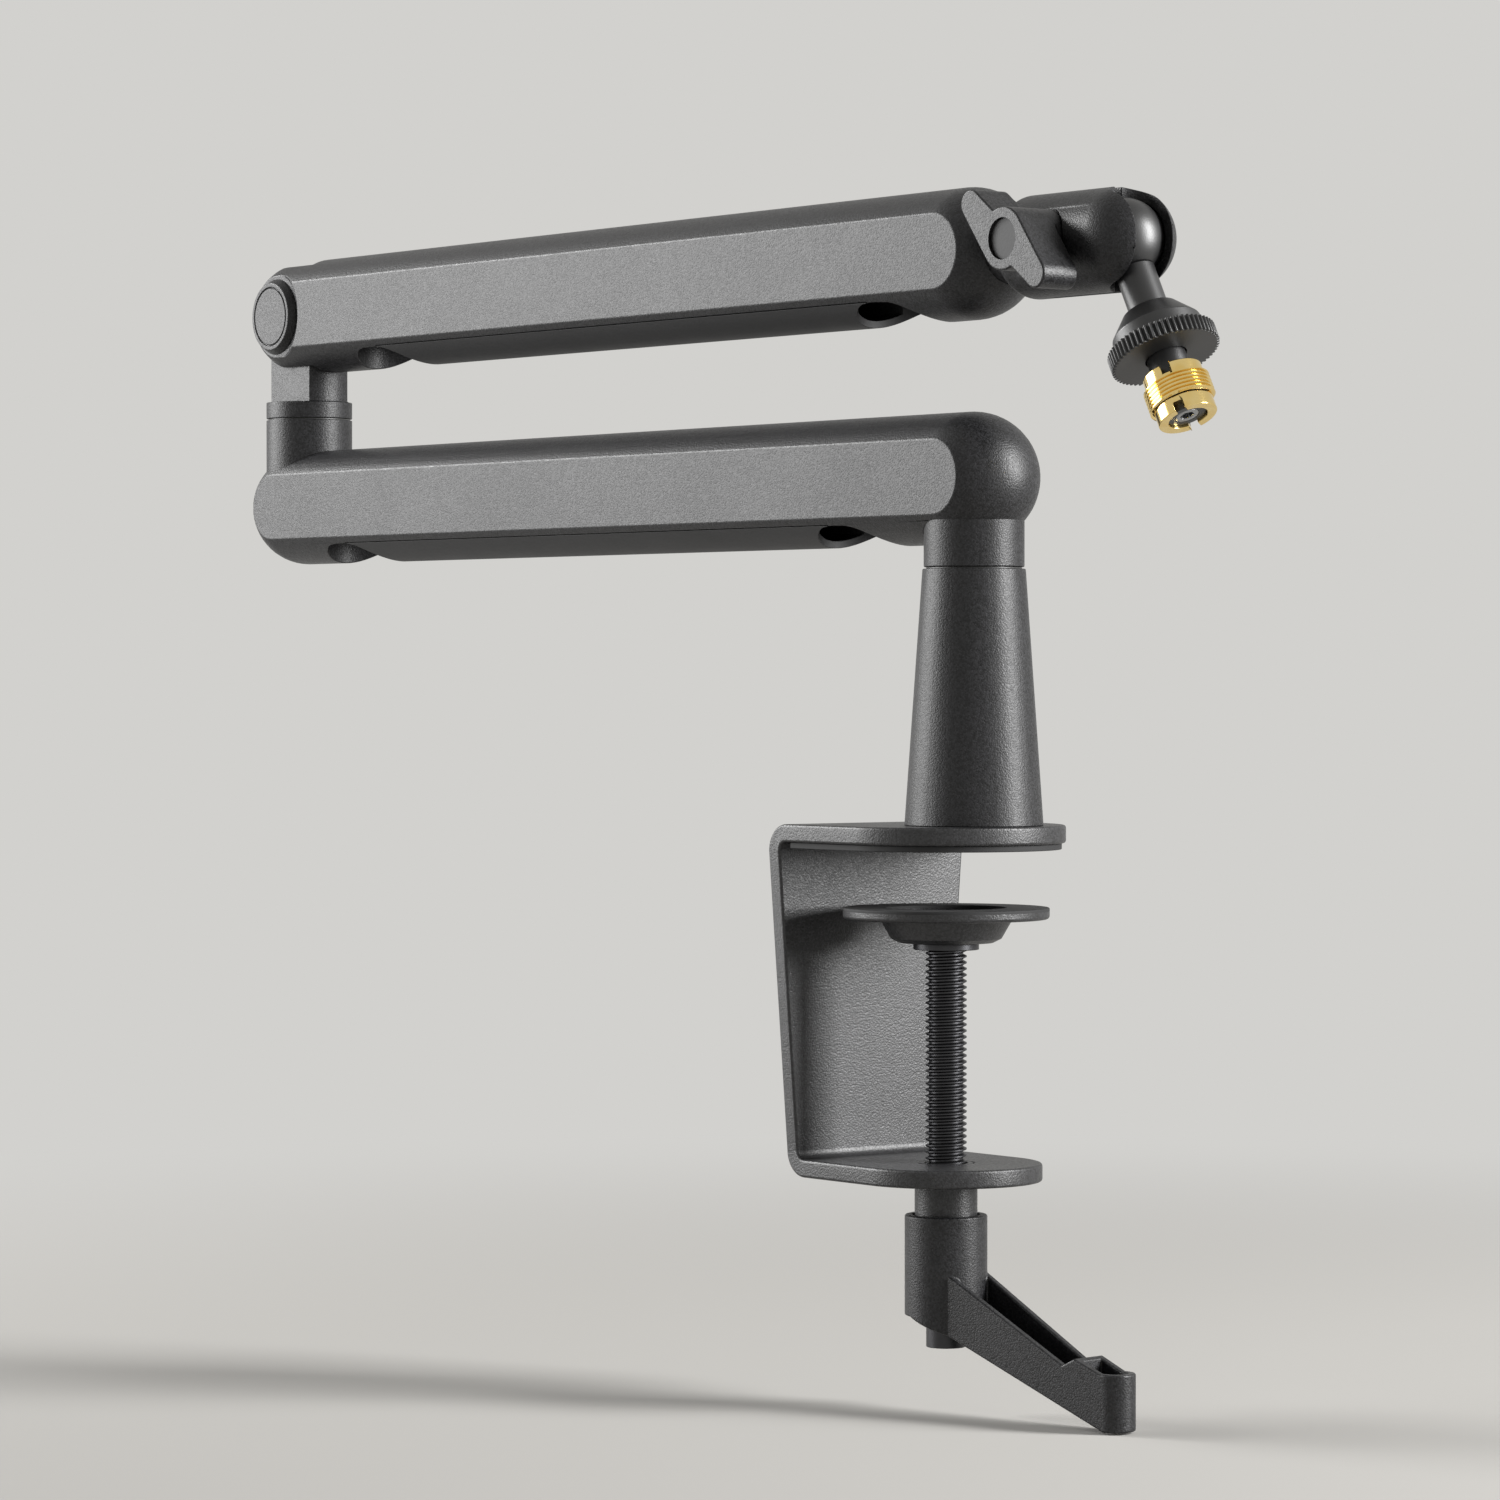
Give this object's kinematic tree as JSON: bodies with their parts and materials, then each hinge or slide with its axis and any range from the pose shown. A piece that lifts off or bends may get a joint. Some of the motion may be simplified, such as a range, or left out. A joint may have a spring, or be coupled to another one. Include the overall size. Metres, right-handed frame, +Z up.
{
  "type": "microphone boom arm",
  "caption": "Low-profile desk-clamp boom arm: tapered riser, level lower and upper arms on swivels, a tilting elbow, cable covers and a ball head with a threaded microphone adapter.",
  "frame": {"origin": "riser axis at the desk surface, on the underside of the top jaw's liner", "axes": "+Z up, +X from the clamp's back plate towards the jaw tips, over the desk"},
  "size_m": [0.3942, 0.0578, 0.2944],
  "materials": {
    "cast_black": "matte black powder coat",
    "bracket_black": "matte black powder coat",
    "dark_steel": "black oxide, satin",
    "cover_plastic": "matte moulded",
    "bearing_plastic": "plain moulded",
    "pad_rubber": "matte",
    "brass": "turned and polished"
  },
  "bodies": {
    "clamp": {"clamp_bracket": "bracket_black", "jaw_liner": "pad_rubber", "screw_bush": "dark_steel", "riser_post": "cast_black", "riser_bolt": "dark_steel", "swivel_bush": "bearing_plastic", "swivel_washer": "bearing_plastic"},
    "pad": {"pressure_pad": "bracket_black", "pad_rubber": "pad_rubber"},
    "screw": {"clamp_screw": "dark_steel", "lever_handle": "cast_black", "lever_bolt": "dark_steel", "pad_collar": "dark_steel", "pad_retainer": "dark_steel"},
    "lower": {"lower_arm": "cast_black", "lower_collar": "cast_black", "swivel_pin": "dark_steel", "elbow_post": "cast_black", "elbow_bush": "bearing_plastic", "elbow_washer": "bearing_plastic", "lower_cable_cover": "cover_plastic"},
    "elbow": {"elbow_knuckle": "cast_black", "elbow_pin": "dark_steel"},
    "upper": {"upper_arm": "cast_black", "upper_cable_cover": "cover_plastic", "hinge_bolt": "dark_steel", "hinge_washers": "bearing_plastic", "hinge_cap_near": "cast_black", "hinge_cap_far": "cast_black", "head_neck": "cast_black", "head_housing": "cast_black", "clamp_stud": "dark_steel"},
    "knob": {"wing_knob": "cast_black", "knob_cap": "cover_plastic"},
    "ball": {"head_ball": "dark_steel"},
    "stem": {"ball_stem": "dark_steel", "stem_end_screw": "dark_steel", "thread_adapter": "brass"},
    "nut": {"thumb_nut": "cast_black"}
  },
  "joints": [
    {"name": "base_swivel", "type": "hinge", "parent": "clamp", "child": "lower", "pos_m": [0, 0, 0.0675], "axis": [0, 0, 1], "continuous": true},
    {"name": "elbow_swivel", "type": "hinge", "parent": "lower", "child": "elbow", "pos_m": [-0.2954, 0, 0.1141], "axis": [0, 0, 1], "continuous": true},
    {"name": "arm_tilt", "type": "hinge", "parent": "elbow", "child": "upper", "pos_m": [-0.2954, 0, 0.143], "axis": [0, -1, 0], "range_deg": [-3, 90]},
    {"name": "knob_turn", "type": "hinge", "parent": "upper", "child": "knob", "pos_m": [0.039, 0, 0.143], "axis": [0, 1, 0], "continuous": true},
    {"name": "ball_tilt", "type": "hinge", "parent": "upper", "child": "ball", "pos_m": [0.0542, 0, 0.143], "axis": [0, -1, 0], "range_deg": [-6, 130]},
    {"name": "stem_spin", "type": "hinge", "parent": "ball", "child": "stem", "pos_m": [0.0542, 0, 0.143], "axis": [0.4695, 0, -0.8829], "continuous": true},
    {"name": "nut_turn", "type": "hinge", "parent": "stem", "child": "nut", "pos_m": [0.0542, 0, 0.143], "axis": [0.4695, 0, -0.8829], "continuous": true},
    {"name": "pad_lift", "type": "slide", "parent": "clamp", "child": "pad", "axis": [0, 0, 1], "range_m": [-0.05105, 0.00485]},
    {"name": "screw_turn", "type": "hinge", "parent": "pad", "child": "screw", "pos_m": [-0.0105, 0, -0.0883], "axis": [0, 0, 1], "range_deg": [-12240, 1152]}
  ],
  "couplings": [
    {"joint": "pad_lift", "follows": "screw_turn", "m_per_rad": 0.00023873}
  ]
}
